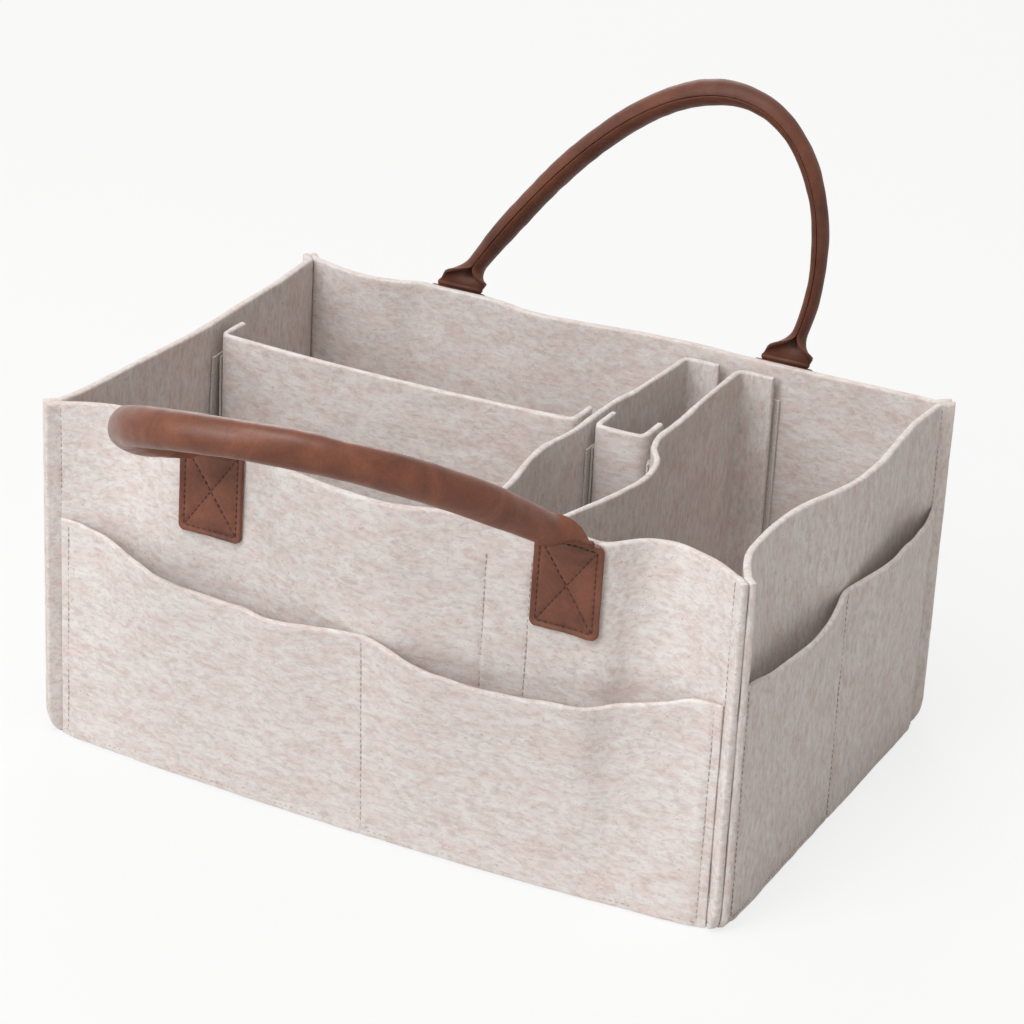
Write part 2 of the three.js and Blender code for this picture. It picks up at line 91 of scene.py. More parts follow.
# Tapes
TAPE_FELT = 1.2
TAPE_EDGE = 0.5
TAPE_CELL = 3
TAPE_STITCH_INSET = 1.25
WALL_TAPES = {
    "left_cross_divider_loop_tape_1": "front",
    "right_cross_divider_loop_tape_1": "front",
    "left_cross_divider_loop_tape_2": "back",
    "right_cross_divider_loop_tape_2": "back",
    "long_divider_loop_tape_1": "left",
}
GLUED_TAPE = "left_cross_divider_loop_tape_1"

# Handles
GRIP_LEATHER = 1.8
ROOT_WIDTH = 27
GRIP_DEPTH = 16
GRIP_BREADTH = 20
GRIP_SEAM_GAP = 0.15
GRIP_SEAM_EDGE = 0.35
GRIP_CURL_START = 3
GRIP_CURL_END = 19
GRIP_UPRIGHT_LENGTH = 30
HINGE_THICKNESS = 2.4
HINGE_HEM = 0.8
REAR_GRIP_REACH = (-144.5, 95, -69.5, 258)
FRONT_GRIP_REACH = (-129, 188, 67.5, 174)
REAR_GRIP_SHARES = (
    (0, 0.56), (0.12, 0.5), (0.24, 0.57), (0.36, 0.66), (0.5, 0.84), (0.75, 0.79), (1, 0.7),
)
FRONT_GRIP_SHARES = ((0, 0.85), (0.15, 1.15), (0.3, 0.96), (0.6, 0.91), (0.8, 0.94), (1, 0.82))
FRONT_GRIP_TWIST = math.radians(4)
FRONT_GRIP_LEAN = math.radians(60)
GRIP_PATH_POINTS = 801
GRIP_NEAR = 0.5
GRIP_WAVES = ((42, 0.17), (9, 0.06))
ROOT_EASE = 0.35
ROOT_FOLD_RADIUS = 1.95
ROOT_FOLD_END = 0.8
ROOT_FOLD_END_SHARE = 0.55
CORD_INSET = 0.5
CORD_SETBACK = 3
GRIP_AROUND = 56
GRIP_STEP = 2
SLEEVE_EDGE = 1.2
CORD_SIDES = 20

# Patches
PATCH_THICKNESS = 2.8
PATCH_CORNER = 3
PATCH_EDGE = 0.9
PATCH_CELL = 0.8
PATCH_EASE = 0.3
PATCH_WAVE = (12, 0.1)
PATCH_STITCH_INSET = 3
PATCH_STITCH_SUNK = 0.75
PATCH_GROOVE = 1.4

# Threads
STITCH_PITCH = 3.2
STITCH_LENGTH = 2.3
THREAD = 0.55
STITCH_SUNK = 0.6
STITCH_GROOVE = 1.1
GROOVE_SHARES = (-1.6, -0.8, 0, 0.8, 1.6)
FOOT_STITCH_RISE = 3
POCKET_STITCH_INSET = 4.5
STITCH_END_GAP = 2
STITCH_LINE_POINTS = 40
RING_PLACES = (-0.5, -0.4, -0.2, 0.2, 0.4, 0.5)
RING_SIZES = (0.35, 0.85, 1.0, 1.0, 0.85, 0.35)
RING_SIDES = 7
RING_DIP_SHARE = 0.8

# Camera, fitted to the corners of the box
CAMERA_TARGET = (-27.2, 68.5, 90)
CAMERA_AZIMUTH = math.radians(26.23)
CAMERA_ELEVATION = math.radians(24.37)
CAMERA_ROLL = math.radians(2.98)
CAMERA_DISTANCE = 1810
FOCAL_PIXELS = 3359
IMAGE_PIXELS = 1024
SENSOR = 36
CLIP_START = 50

# Felt colours, and how many of each mark come to a metre
FELT_WARM = (0.69, 0.603, 0.574)
FELT_PALE = (0.73, 0.70, 0.677)
FELT_STREAK = (0.815, 0.775, 0.755)
FELT_STRAND = (0.44, 0.33, 0.29)
FELT_FLECK = (0.40, 0.27, 0.22)
CLOUD_RATE = 150
STREAK_RATE = 420
STRAND_RATE = 300
STRAND_PLACE_RATE = 330
FLECK_RATE = 760
FIBRE_RATE = 1500

# The same for leather
MOTTLE_RATE = 38
PORE_RATE = 900
GRAIN_RATE = 1100
WRINKLE_RATE = 160

# Studio, with its lengths in metres
WHITE = (1, 1, 1)
STUDIO_HALF = 6
STUDIO_DROP = 0.0005
STUDIO_GREY = 0.74
STUDIO_WHITE_SHARE = 0.78
SKY_COLOUR = (1.0, 0.945, 0.88)
SKY_STRENGTH = 0.36
LAMP_TARGET = (0, 0, 0.1)

# Random unevenness: how many ripples add up, their spread of sizes, and the seeds
RIPPLE_COUNT = 14
RIPPLE_SIZE_SHARES = (0.7, 1.6)
WALL_SEED = 10
POCKET_SEED = 50
SIDE_SEED_STEP = 100
INNER_FACE_SEED = 9
POCKET_FACE_SEED = 3
DIVIDER_SEED = 601
DIVIDER_SEED_STEP = 20
DIVIDER_FACE_SEED = 5
GRIP_SEED = 700
PATCH_SEED = 800
GRIP_SEED_STEP = 50


# Numbers and curves
def smooth_line(places, values, slopes=None):
    """A smooth curve through the values at the places."""
    if slopes is None:
        slopes = np.gradient(values, places)

    def at(x):
        x = np.clip(x, places[0], places[-1])
        k = np.clip(np.searchsorted(places, x, side="right") - 1, 0, len(places) - 2)
        span = places[k + 1] - places[k]
        t = (x - places[k]) / span
        rise = t * t * (3 - 2 * t)
        start = slopes[k] * span * t * (1 - t) ** 2
        end = slopes[k + 1] * span * t * t * (t - 1)
        return values[k] * (1 - rise) + values[k + 1] * rise + start + end

    return at


def follow(table):
    """A smooth curve through (place, value) pairs that never overshoots them."""
    places, values = np.array(table, float).T
    steps = np.diff(values) / np.diff(places)
    before, after = steps[:-1], steps[1:]
    agree = before * after > 0
    slopes = np.zeros(len(places))
    slopes[1:-1][agree] = 2 * before[agree] * after[agree] / (before + after)[agree]
    return smooth_line(places, values, slopes)


def smoothstep(x, low, high):
    t = np.clip((x - low) / (high - low), 0, 1)
    return t * t * (3 - 2 * t)


def lerp(a, b, t):
    return a + (b - a) * t


def even(low, high, cell):
    return np.linspace(low, high, max(2, round((high - low) / cell) + 1))


def edged(low, high, cell, edge, lines=()):
    """Places from low to high, close together at both ends and around the lines."""
    shares = np.array(EDGE_SHARES) * edge
    near = np.array(GROOVE_SHARES) * STITCH_GROOVE
    middle = even(low + edge, high - edge, cell)
    for line in lines:
        middle = middle[np.abs(middle - line) > near[-1] + cell / 3]
    close = [line + near for line in lines]
    places = np.concatenate([low + shares, middle, high - shares, *close])
    return np.unique(places.round(4))


def ripples(points, size, height, seed):
    """Soft random unevenness of about the given size, the same on each run."""
    draw = np.random.default_rng(seed)
    ways = draw.normal(size=(RIPPLE_COUNT, 3))
    ways /= np.linalg.norm(ways, axis=1)[:, None]
    rates = 2 * math.pi / (size * draw.uniform(*RIPPLE_SIZE_SHARES, RIPPLE_COUNT))
    phases = draw.uniform(0, 2 * math.pi, RIPPLE_COUNT)
    total = np.sin((points @ ways.T) * rates + phases).sum(-1)
    return height * total * math.sqrt(2 / RIPPLE_COUNT)


def unevenness(points, waves, seed):
    """Long and short ripples together, each wave a (size, height) pair."""
    return sum(ripples(points, size, height, seed + k) for k, (size, height) in enumerate(waves))


def unit(vectors):
    return vectors / np.maximum(np.linalg.norm(vectors, axis=-1, keepdims=True), NO_LENGTH)


def run_along(points):
    """How far along a line of points each of them lies."""
    steps = np.linalg.norm(np.diff(points, axis=0), axis=1)
    return np.concatenate([[0], np.cumsum(steps)])


# Meshes
def add_mesh(name, points, faces, look, body):
    mesh = bpy.data.meshes.new(name)
    mesh.from_pydata((points * MM).tolist(), [], faces)
    mesh.polygons.foreach_set("use_smooth", [True] * len(mesh.polygons))
    mesh.materials.append(look)
    mesh.validate()
    piece = bpy.data.objects.new(name, mesh)
    bpy.context.scene.collection.objects.link(piece)
    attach(piece, body)
    return piece


def border_distance(middle):
    """How far each point of a grid lies from the nearest edge of the sheet."""
    across = np.linalg.norm(np.diff(middle, axis=1), axis=2)
    up = np.linalg.norm(np.diff(middle, axis=0), axis=2)
    left = np.pad(np.cumsum(across, axis=1), ((0, 0), (1, 0)))
    low = np.pad(np.cumsum(up, axis=0), ((1, 0), (0, 0)))
    right = left[:, -1:] - left
    high = low[-1:, :] - low
    return np.minimum.reduce([left, right, low, high])


def sheet_mesh(middle, thickness, edge, front_lift=0, back_lift=0):
    """A closed sheet with rounded edges on both sides of a grid of points."""
    rows, columns = middle.shape[:2]
    normal = unit(np.cross(np.gradient(middle, axis=1), np.gradient(middle, axis=0)))
    inward = np.clip(border_distance(middle) / edge, 0, 1)
    full = (1 - (1 - inward) ** EDGE_POWER) ** (1 / EDGE_POWER)
    out = middle + normal * (full * (thickness / 2 + front_lift))[..., None]
    back = middle - normal * (full * (thickness / 2 + back_lift))[..., None]
    index = np.arange(rows * columns).reshape(rows, columns)
    border = np.ones((rows, columns), bool)
    border[1:-1, 1:-1] = False
    inner = np.where(border, index, 0)
    inner[~border] = rows * columns + np.arange((~border).sum())
    points = np.concatenate([out.reshape(-1, 3), back[~border]])

    def quads(grid):
        corners = [grid[:-1, :-1], grid[:-1, 1:], grid[1:, 1:], grid[1:, :-1]]
        return np.stack([corner.ravel() for corner in corners], axis=1)

    return points, np.concatenate([quads(index), quads(inner)[:, ::-1]]).tolist()


# Reading the solids
def corners(node):
    """The corner points of a solid, each once."""
    points = np.array([vertex.co for vertex in frame["nodes"][node].data.vertices]) / MM
    return np.unique(points.round(3), axis=0)


def box(node):
    low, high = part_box(node)
    return np.array(low) / MM, np.array(high) / MM


BODY_OF = {
    node: body for body, nodes in frame["record"]["behaviour"]["bodies"].items() for node in nodes
}


class Side:
    """One side of the box. s runs to the right along it seen from outside, out runs outward."""

    def __init__(self, name, turn):
        self.name = name
        self.cos = math.cos(turn)
        self.sin = math.sin(turn)
        wall = self.local(corners(f"{name}_wall"))
        pocket = self.local(corners(f"{name}_pocket"))
        self.height = wall[:, 2].max()
        self.groove = pocket[:, 0].max() + FIT
        self.corner = self.groove + WALL_FELT * math.tan(SEAM_TURN / 2)
        wall = wall[np.abs(wall[:, 0]) < self.groove + TOUCH]
        self.face = wall[np.abs(wall[:, 0]) > self.groove - TOUCH][:, 1].max() - WALL_FELT
        places = np.unique(wall[:, 0].round(1))
        self.high = smooth_line(places, self.outermost(wall, places, self.height))
        self.low = smooth_line(places, self.outermost(wall, places, 0))
        places = np.unique(pocket[:, 0].round(1))
        at = [pocket[np.abs(pocket[:, 0] - s) < SAME_PLACE] for s in places]
        tops = np.array([column[:, 2].max() for column in at])
        inner = np.array([
            column[column[:, 2] > top - TOUCH][:, 1].min() for column, top in zip(at, tops)
        ])
        self.pocket_top = smooth_line(places, tops)
        gaps = np.maximum(0, inner - self.outer(places, tops) - FIT)
        self.mouth = smooth_line(places, gaps)

    def local(self, points):
        x, y, z = points.T
        return np.stack([x * self.cos + y * self.sin, x * self.sin - y * self.cos, z], axis=1)

    def world(self, s, out, z):
        s, out, z = np.broadcast_arrays(s, out, z)
        return np.stack([s * self.cos + out * self.sin, s * self.sin - out * self.cos, z], axis=-1)

    def extent(self, node):
        """The lowest and highest s, out and z of a solid."""
        points = self.local(corners(node))
        return points.min(0), points.max(0)

    @staticmethod
    def outermost(wall, places, height):
        """How far out the wall reaches at each place along it, at one height."""
        level = wall[np.abs(wall[:, 2] - height) < TOUCH]
        at = [level[np.abs(level[:, 0] - s) < SAME_PLACE] for s in places]
        return np.array([column[:, 1].max() for column in at])

    def outer(self, s, z):
        """The outer face of the wall."""
        rise = np.maximum(0, z - FOOT_HEIGHT) / (self.height - FOOT_HEIGHT)
        return lerp(self.low(s), self.high(s), rise)

    def pocket_gap(self, s, z):
        """How far the pocket stands off the wall, beyond their fit."""
        share = np.maximum(0, z - FOOT_HEIGHT) / (self.pocket_top(s) - FOOT_HEIGHT)
        return np.maximum(0, self.mouth(s)) * share ** POCKET_FLARE_POWER

    def outward(self):
        return np.array([self.sin, -self.cos, 0])


SIDES = {
    "front": Side("front", 0),
    "right": Side("right", math.pi / 2),
    "back": Side("back", math.pi),
    "left": Side("left", -math.pi / 2),
}


# Materials
def node_of(tree, kind, **settings):
    node = tree.nodes.new(kind)
    for key, value in settings.items():
        setattr(node, key, value)
    return node


def noise(tree, coordinates, scale, stretch=(1, 1, 1), detail=3.0, rough=0.55, distort=0.0):
    mapping = node_of(tree, "ShaderNodeMapping")
    mapping.inputs["Scale"].default_value = stretch
    tree.links.new(coordinates, mapping.inputs["Vector"])
    texture = node_of(tree, "ShaderNodeTexNoise")
    texture.inputs["Scale"].default_value = scale
    texture.inputs["Detail"].default_value = detail
    texture.inputs["Roughness"].default_value = rough
    texture.inputs["Distortion"].default_value = distort
    tree.links.new(mapping.outputs["Vector"], texture.inputs["Vector"])
    return texture.outputs["Fac"]


def ramp(tree, value, *stops):
    """A colour ramp of (place, colour) stops; a colour may be one number for a grey."""
    node = node_of(tree, "ShaderNodeValToRGB")
    elements = node.color_ramp.elements
    while len(elements) < len(stops):
        elements.new(0.5)
    for element, (place, colour) in zip(elements, stops):
        element.position = place
        element.color = (*colour, 1) if isinstance(colour, tuple) else (colour, colour, colour, 1)
    tree.links.new(value, node.inputs["Fac"])
    return node.outputs["Color"]


def mix(tree, factor, a, b, blend="MIX"):
    """A mix of two colours. Its sockets 0, 6 and 7 are the factor and the colours, 2 the result."""
    node = node_of(tree, "ShaderNodeMix", data_type="RGBA", blend_type=blend)
    for place, value in ((0, factor), (6, a), (7, b)):
        socket = node.inputs[place]
        if isinstance(value, bpy.types.NodeSocket):
            tree.links.new(value, socket)
        elif isinstance(value, tuple):
            socket.default_value = (*value, 1)
        else:
            socket.default_value = value
    return node.outputs[2]


def bump(tree, height, strength, distance, normal=None):
    node = node_of(tree, "ShaderNodeBump")
    node.inputs["Strength"].default_value = strength
    node.inputs["Distance"].default_value = distance * MM
    tree.links.new(height, node.inputs["Height"])
    if normal is not None:
        tree.links.new(normal, node.inputs["Normal"])
    return node.outputs["Normal"]


def new_look(name, **sockets):
    """A principled material with plain values on its own sockets."""
    look = bpy.data.materials.new(name)
    look.use_nodes = True
    shader = look.node_tree.nodes["Principled BSDF"]
    for key, value in sockets.items():
        shader.inputs[key.replace("_", " ")].default_value = value
    return look, look.node_tree, shader


def felt_look(name, stretch):
    """Heathered wool felt. The grain runs along the axis with the small stretch."""
    look, tree, shader = new_look(
        name, Roughness=0.95, Specular_IOR_Level=0.2, Sheen_Weight=0.1, Sheen_Roughness=0.6,
    )
    at = node_of(tree, "ShaderNodeTexCoord").outputs["Object"]
    cloud = noise(tree, at, CLOUD_RATE, stretch, 4, 0.6, 1.0)
    streak = noise(tree, at, STREAK_RATE, stretch, 4, 0.65, 0.5)
    colour = ramp(tree, cloud, (0.38, FELT_WARM), (0.62, FELT_PALE))
    shade = ramp(tree, streak, (0.32, FELT_STREAK), (0.57, 1.0))
    colour = mix(tree, 1.0, colour, shade, "MULTIPLY")
    curl = noise(tree, at, STRAND_RATE, stretch, 2, 0.5, 1.8)
    strand = ramp(tree, curl, (0.478, 0.0), (0.5, 1.0), (0.522, 0.0))
    where = ramp(tree, noise(tree, at, STRAND_PLACE_RATE, detail=2), (0.48, 0.0), (0.6, 0.75))
    colour = mix(tree, mix(tree, 1.0, strand, where, "MULTIPLY"), colour, FELT_STRAND)
    brown = ramp(tree, noise(tree, at, FLECK_RATE, stretch, 2, 0.6, 0.6), (0.66, 0.0), (0.76, 0.5))
    colour = mix(tree, brown, colour, FELT_FLECK)
    tree.links.new(colour, shader.inputs["Base Color"])
    fibre = noise(tree, at, FIBRE_RATE, detail=3, rough=0.7)
    normal = bump(tree, streak, 0.25, 0.35)
    normal = bump(tree, fibre, 0.4, 0.2, normal)
    tree.links.new(normal, shader.inputs["Normal"])
    return look


def leather_look(name, light, dark, smooth, rough):
    """Waxed leather with fine grain and mottling, smoother where it is lighter."""
    look, tree, shader = new_look(name, Specular_IOR_Level=0.3, Coat_Weight=0.05, Coat_Roughness=0.25)
    at = node_of(tree, "ShaderNodeTexCoord").outputs["Object"]
    cloud = noise(tree, at, MOTTLE_RATE, detail=5, rough=0.62, distort=0.7)
    pores = noise(tree, at, PORE_RATE, detail=3, rough=0.6)
    colour = ramp(tree, cloud, (0.32, dark), (0.68, light))
    speck = ramp(tree, pores, (0.3, 0.72), (0.6, 1.0))
    colour = mix(tree, 0.6, colour, mix(tree, 1.0, colour, speck, "MULTIPLY"))
    tree.links.new(colour, shader.inputs["Base Color"])
    tree.links.new(ramp(tree, cloud, (0.3, rough), (0.7, smooth)), shader.inputs["Roughness"])
    cells = node_of(tree, "ShaderNodeTexVoronoi", feature="DISTANCE_TO_EDGE")
    cells.inputs["Scale"].default_value = GRAIN_RATE
    tree.links.new(at, cells.inputs["Vector"])
    grain = ramp(tree, cells.outputs["Distance"], (0.0, 0.0), (0.12, 1.0))
    wrinkle = noise(tree, at, WRINKLE_RATE, detail=4, rough=0.6, distort=1.0)
    normal = bump(tree, wrinkle, 0.25, 0.5)
    normal = bump(tree, grain, 0.16, 0.12, normal)
    tree.links.new(normal, shader.inputs["Normal"])
    return look


def cloth_look(name, light, dark, scale, rough=0.9):
    """A plain textile: thread, tape or cord."""
    look, tree, shader = new_look(name, Roughness=rough)
    at = node_of(tree, "ShaderNodeTexCoord").outputs["Object"]
    grain = noise(tree, at, scale, detail=3, rough=0.65)
    tree.links.new(ramp(tree, grain, (0.35, dark), (0.65, light)), shader.inputs["Base Color"])
    tree.links.new(bump(tree, grain, 0.6, 0.4), shader.inputs["Normal"])
    return look


FELT_ALONG_X = felt_look("felt_along_x", (0.4, 1, 1))
FELT_ALONG_Z = felt_look("felt_along_z", (1, 1, 0.4))
LEATHER = leather_look("leather", (0.235, 0.082, 0.045), (0.115, 0.038, 0.021), 0.27, 0.42)
# The rear handle and its patches take a darker, rougher copy of the same leather; its darker colours are painted
# shade.
REAR_SHADED_LEATHER = leather_look("worn_leather", (0.155, 0.051, 0.027), (0.085, 0.027, 0.015), 0.5, 0.62)
TAPE = cloth_look("tape", (0.70, 0.66, 0.62), (0.52, 0.48, 0.44), 1300)
CORD = cloth_look("cord", (0.52, 0.45, 0.38), (0.36, 0.30, 0.25), 700)
FELT_THREAD = cloth_look("felt_thread", (0.52, 0.44, 0.39), (0.37, 0.29, 0.245), 1500, 0.75)
LEATHER_THREAD = cloth_look("leather_thread", (0.085, 0.032, 0.022), (0.045, 0.018, 0.013), 1500, 0.6)


# Threads
def stitch_row(points, outward):
    """The middles, ways and outward directions of the stitches along a line of points."""
    run = run_along(points)
    count = max(1, int((run[-1] + STITCH_PITCH - STITCH_LENGTH) / STITCH_PITCH))
    start = (run[-1] - (count - 1) * STITCH_PITCH) / 2
    places = start + STITCH_PITCH * np.arange(count)

    def at(where, rows):
        return np.stack([np.interp(where, run, rows[:, k]) for k in range(3)], axis=1)

    half = STITCH_LENGTH / 2
    ways = unit(at(places + half, points) - at(places - half, points))
    return at(places, points), ways, unit(at(places, outward))


def add_threads(name, rows, look, body):
    """One mesh of all the stitches in the rows, each a short round thread that dips at its ends."""
    middles, ways, outs = (np.concatenate(part) for part in zip(*rows))
    sides = np.cross(ways, outs)
    turns = 2 * math.pi * np.arange(RING_SIDES) / RING_SIDES
    points = []
    for place, size in zip(RING_PLACES, RING_SIZES):
        sink = THREAD * (2 * place) ** 2 * RING_DIP_SHARE
        centre = middles + ways * (place * STITCH_LENGTH) - outs * sink
        reach = size * THREAD / 2
        for turn in turns:
            points.append(centre + (sides * math.cos(turn) + outs * math.sin(turn)) * reach)
    rings = len(RING_PLACES)
    count = len(middles)
    points = np.stack(points, axis=1).reshape(-1, 3)
    faces = []
    for j in range(rings - 1):
        for i in range(RING_SIDES):
            after = (i + 1) % RING_SIDES
            low = j * RING_SIDES
            faces.append([low + i, low + after, low + RING_SIDES + after, low + RING_SIDES + i])
    each = np.array(faces)
    offsets = rings * RING_SIDES * np.arange(count)
    quads = (each[None] + offsets[:, None, None]).reshape(-1, 4).tolist()
    caps = []
    for offset in offsets:
        caps.append([int(offset) + i for i in reversed(range(RING_SIDES))])
        caps.append([int(offset) + (rings - 1) * RING_SIDES + i for i in range(RING_SIDES)])
    add_mesh(name, points, quads + caps, look, body)


def grooves(s, z, lines):
    """How deep the stitches pull the felt in. A line is (s, None) upright or (None, z) level."""
    depth = np.zeros(np.broadcast(s, z).shape)
    for line_s, line_z in lines:
        off = s - line_s if line_z is None else z - line_z
        depth = np.maximum(depth, np.exp(-(off / STITCH_GROOVE) ** 2))
    return depth * STITCH_SUNK


# Walls and pockets
def felt_lift(points, seed):
    """How far the felt's face stands out or lies in at each point."""
    return unevenness(points, FELT_WAVES, seed)


def stitched(side, s, z, depth):
    """A row of stitches that lie at the depth in front of the wall's outer face."""
    points = side.world(s, side.outer(s, z) + depth, z)
    return stitch_row(points, np.broadcast_to(side.outward(), points.shape))


def tape_lines(name):
    """The upright stitch lines of the loop tapes sewn to a wall."""
    lines = []
    for node in frame["nodes"]:
        if WALL_TAPES.get(node) == name and node != GLUED_TAPE:
            low, high = SIDES[name].extent(node)
            for s in (low[0] + TAPE_STITCH_INSET, high[0] - TAPE_STITCH_INSET):
                lines.append((s, low[2], high[2]))
    return lines


def add_wall(side, look, seed):
    """The wall runs between its seams and turns out at 45 degrees into a flange at each end."""
    inner = WALL_FELT / 2 * math.tan(SEAM_TURN / 2)
    mitre = side.corner - inner
    trim = SEAM_BEND * math.tan(SEAM_TURN / 2)
    end = mitre - trim
    lines = [s for s, _, _ in tape_lines(side.name)]
    main = edged(-end, end, FELT_CELL, FELT_EDGE, lines)
    z = edged(0, side.height, FELT_CELL, FELT_EDGE, [FOOT_STITCH_RISE])[:, None]
    up = np.clip((SEAM_ROUND - z) / SEAM_ROUND, 0, 1)
    flange = SEAM_FLANGE * np.sqrt(1 - up * up)
    length = side.corner - side.groove + SEAM_FLANGE_FOOT + flange - inner - trim
    main_s = main[None, :] + 0 * z
    main_out = side.outer(main[None, :], z) - WALL_FELT / 2
    base = side.face + WALL_FELT / 2
    bend_s, bend_out = [], []
    for turn in np.linspace(0, SEAM_TURN, BEND_STEPS + 1)[1:]:
        bend_s.append(end + SEAM_BEND * math.sin(turn) + 0 * z)
        bend_out.append(base + SEAM_BEND * (1 - math.cos(turn)) + 0 * z)
    shares = np.concatenate([
        np.arange(1, FLANGE_STEPS) / FLANGE_STEPS,
        1 - np.array(EDGE_SHARES[::-1]) * FELT_EDGE / SEAM_FLANGE,
    ])
    for share in shares[np.argsort(shares)]:
        bend_s.append(bend_s[BEND_STEPS - 1] + length * share * math.cos(SEAM_TURN))
        bend_out.append(bend_out[BEND_STEPS - 1] + length * share * math.sin(SEAM_TURN))
    bend_s = np.concatenate(bend_s, axis=1)
    bend_out = np.concatenate(bend_out, axis=1)
    s = np.concatenate([-bend_s[:, ::-1], main_s, bend_s], axis=1)
    out = np.concatenate([bend_out[:, ::-1], main_out, bend_out], axis=1)
    grid = side.world(s, out, z)
    lift = felt_lift(grid, seed)
    pulled = grooves(s, z, [(None, FOOT_STITCH_RISE)])
    for line, low, high in tape_lines(side.name):
        pulled = np.maximum(pulled, grooves(s, z, [(line, None)]) * ((z > low) & (z < high)))
    inner_lift = felt_lift(grid, seed + INNER_FACE_SEED) * INNER_FACE_SHARE
    points, faces = sheet_mesh(grid, WALL_FELT, FELT_EDGE, lift - pulled, inner_lift)
    name = f"{side.name}_wall_felt"
    piece = add_mesh(name, points, faces, look, BODY_OF[f"{side.name}_wall"])
    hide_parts(f"{side.name}_wall")


def add_pocket(side, look, seed):
    """One panel for both pockets of a side, sewn at the foot, the middle and the corner seams."""
    end = side.groove - FIT
    sewn = end - POCKET_STITCH_INSET
    s = edged(-end, end, FELT_CELL, FELT_EDGE, [-sewn, 0, sewn])[None, :]
    middle_top = side.pocket_top(0)
    rise = edged(0, 1, FELT_CELL / middle_top, FELT_EDGE / middle_top)[:, None]
    top = side.pocket_top(s) + ripples(side.world(s, 0, 0), *POCKET_TOP_WAVE, seed)
    z = rise * top
    thickness = lerp(SEWN_FELT, POCKET_FELT, smoothstep(end - np.abs(s), 0, 2 * POCKET_STITCH_INSET))
    out = side.outer(s, z) + FIT + side.pocket_gap(s, z) + thickness / 2
    grid = side.world(s + 0 * z, out, z)
    lift = felt_lift(grid, seed + POCKET_FACE_SEED)
    pulled = grooves(s, z, [(-sewn, None), (0, None), (sewn, None), (None, FOOT_STITCH_RISE)])
    points, faces = sheet_mesh(grid, thickness, FELT_EDGE, lift - pulled, 0)
    name = f"{side.name}_pocket_felt"
    piece = add_mesh(name, points, faces, look, BODY_OF[f"{side.name}_pocket"])
    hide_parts(f"{side.name}_pocket")
    flat = (2 * end * MM, float(np.mean(side.pocket_top(s))) * MM)


def add_side_threads(side):
    """Stitches of the corner seams, the pocket's edges and middle, the foot and the wall's tapes."""
    sewn = side.groove - FIT - POCKET_STITCH_INSET
    sunk = THREAD / 2 - STITCH_SUNK
    rows = []
    for line in (-sewn, 0, sewn):
        thickness = POCKET_FELT if line == 0 else lerp(SEWN_FELT, POCKET_FELT, 0.5)
        z = even(FOOT_STITCH_RISE, side.pocket_top(line) - STITCH_END_GAP, FELT_CELL)
        rows.append(stitched(side, line, z, FIT + thickness + side.pocket_gap(line, z) + sunk))
    foot = even(-sewn, sewn, FELT_CELL)
    foot_depth = FIT + POCKET_FELT + side.pocket_gap(foot, FOOT_STITCH_RISE) + sunk
    rows.append(stitched(side, foot, FOOT_STITCH_RISE, foot_depth))
    for line, low, high in tape_lines(side.name):
        rows.append(stitched(side, line, even(low, high, FELT_CELL), sunk))
    for line in (-side.groove, side.groove):
        z = even(side.pocket_top(line), side.height - STITCH_END_GAP, FELT_CELL)
        rows.append(stitched(side, line, z, THREAD / 4))
    add_threads(f"{side.name}_seam_threads", rows, FELT_THREAD, BODY_OF[f"{side.name}_wall"])


# Floor
def add_floor(node, look):
    """A level sheet whose front edge follows the foot of the front wall."""
    low, high = box(node)
    front = SIDES["front"]
    x = edged(low[0], high[0], FLOOR_CELL, FELT_EDGE)[None, :]
    width = high[1] - low[1]
    share = edged(0, 1, FLOOR_CELL / width, FELT_EDGE / width)[:, None]
    edge = -(front.low(x) - WALL_FELT - FIT)
    y = lerp(edge, high[1], share)
    z = (low[2] + high[2]) / 2 + 0 * x * y
    grid = np.stack(np.broadcast_arrays(x, y, z), axis=-1)
    points, faces = sheet_mesh(grid, high[2] - low[2], FELT_EDGE)
    piece = add_mesh(f"{node}_felt", points, faces, look, BODY_OF[node])
    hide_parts(node)


# Dividers
def rounded_path(path, radius):
    """The path with its sharp corners turned into arcs."""
    points = [path[0]]
    for before, here, after in zip(path[:-2], path[1:-1], path[2:]):
        way_in, way_out = unit(here - before), unit(after - here)
        turn = math.acos(np.clip(way_in @ way_out, -1, 1))
        if turn < SEAM_TURN:
            points.append(here)
            continue
        trim = radius * math.tan(turn / 2)
        start, end = here - way_in * trim, here + way_out * trim
        for t in np.linspace(0, 1, FOLD_STEPS + 1):
            inner = lerp(start, here, t)
            points.append(lerp(inner, lerp(here, end, t), t))
    points.append(path[-1])
    return np.array(points)


def along_path(points, cell, edge):
    """A smooth line through the points, with its own points close together at both ends."""
    run = run_along(points)
    places = edged(0, run[-1], cell, edge)
    curve = [smooth_line(run, points[:, k]) for k in range(points.shape[1])]
    return np.stack([line(places) for line in curve], axis=1)


def cross_path(node):
    """The middle of a cross divider in plan, from its front tab to its back tab."""
    points = corners(node)
    top = points[points[:, 2] > points[:, 2].max() - TOUCH][:, :2]
    # Each corner's nearest one lies straight across the felt from it.
    left = set(range(len(top)))
    path = []
    while left:
        here = left.pop()
        gaps = {other: np.linalg.norm(top[other] - top[here]) for other in left}
        partner = min(gaps, key=gaps.get)
        left.discard(partner)
        path.append((top[here] + top[partner]) / 2)
    path.sort(key=lambda point: (round(point[1], 1), point[0]))
    return np.array(path)


def span_path(node):
    """The long and the short divider run straight, with both tabs turned to the back."""
    low, high = box(node)
    half = DIVIDER_FELT / 2
    left, right, front = low[0] + half, high[0] - half, low[1] + half
    return np.array([[left, high[1]], [left, front], [right, front], [right, high[1]]])


